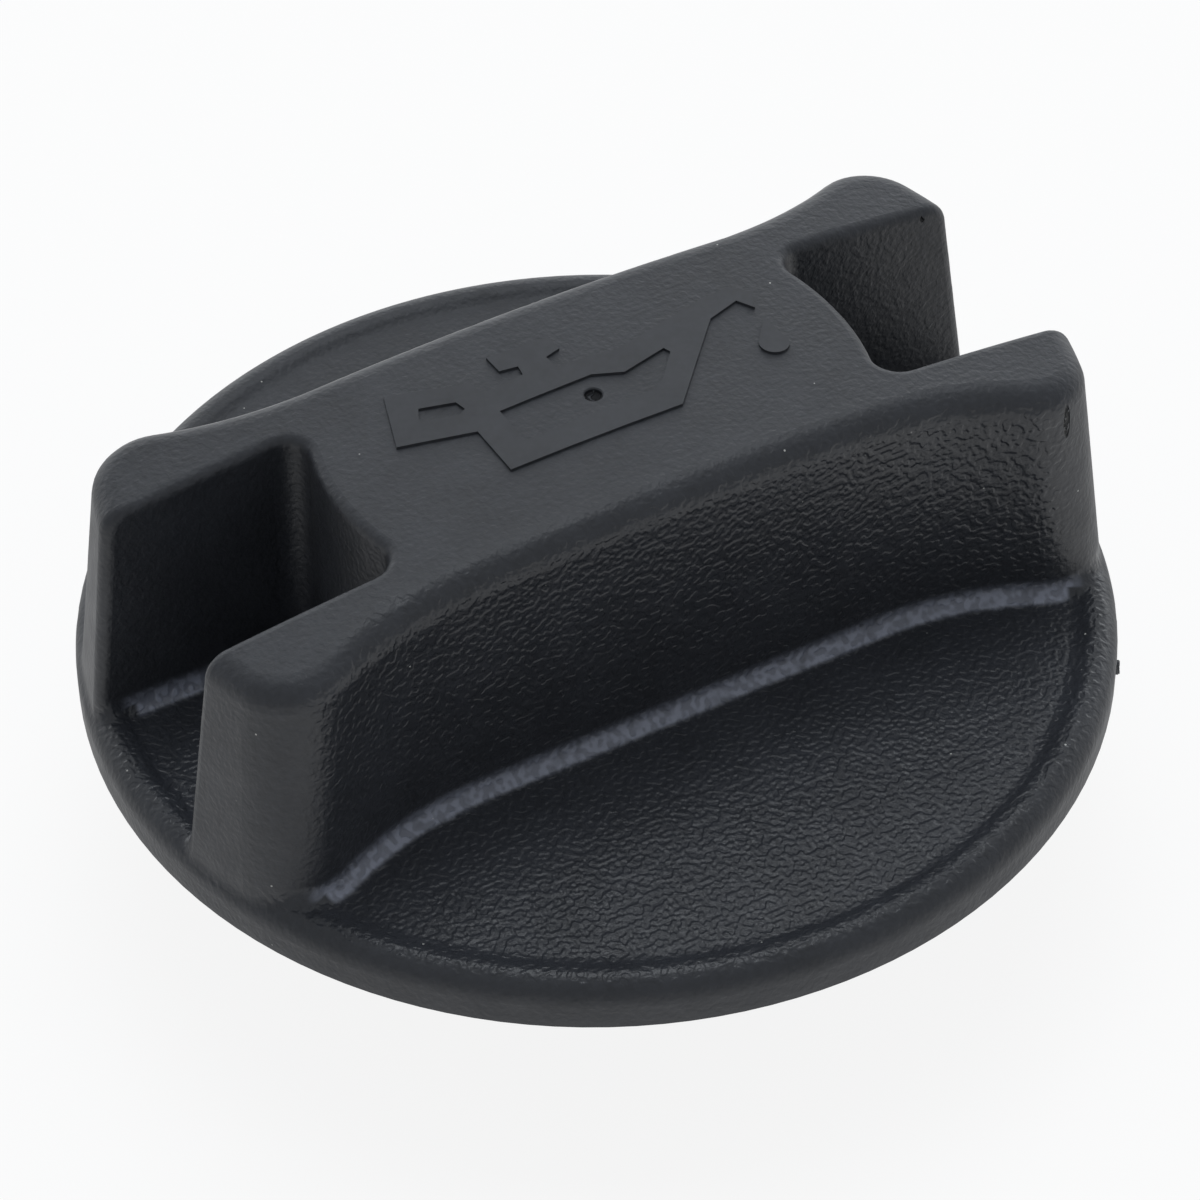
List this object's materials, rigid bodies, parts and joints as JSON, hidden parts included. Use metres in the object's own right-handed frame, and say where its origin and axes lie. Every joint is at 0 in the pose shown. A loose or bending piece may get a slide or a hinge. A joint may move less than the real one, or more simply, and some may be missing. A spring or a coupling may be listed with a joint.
{
  "type": "oil filler cap",
  "caption": "Round black plastic engine oil filler cap with a slotted bar handle, a hollow bayonet stem and a flat rubber sealing ring.",
  "frame": {"origin": "on the axis of the cap, in the plane where the sealing ring meets the filler neck", "axes": "+Z out of the neck along the axis of the cap, X along the bar handle"},
  "size_m": [0.066, 0.066, 0.0358],
  "materials": {
    "black_plastic": "grained moulded black",
    "black_rubber": "matte"
  },
  "bodies": {
    "root": {"cap_body": "black_plastic", "sealing_ring": "black_rubber"}
  },
  "joints": []
}
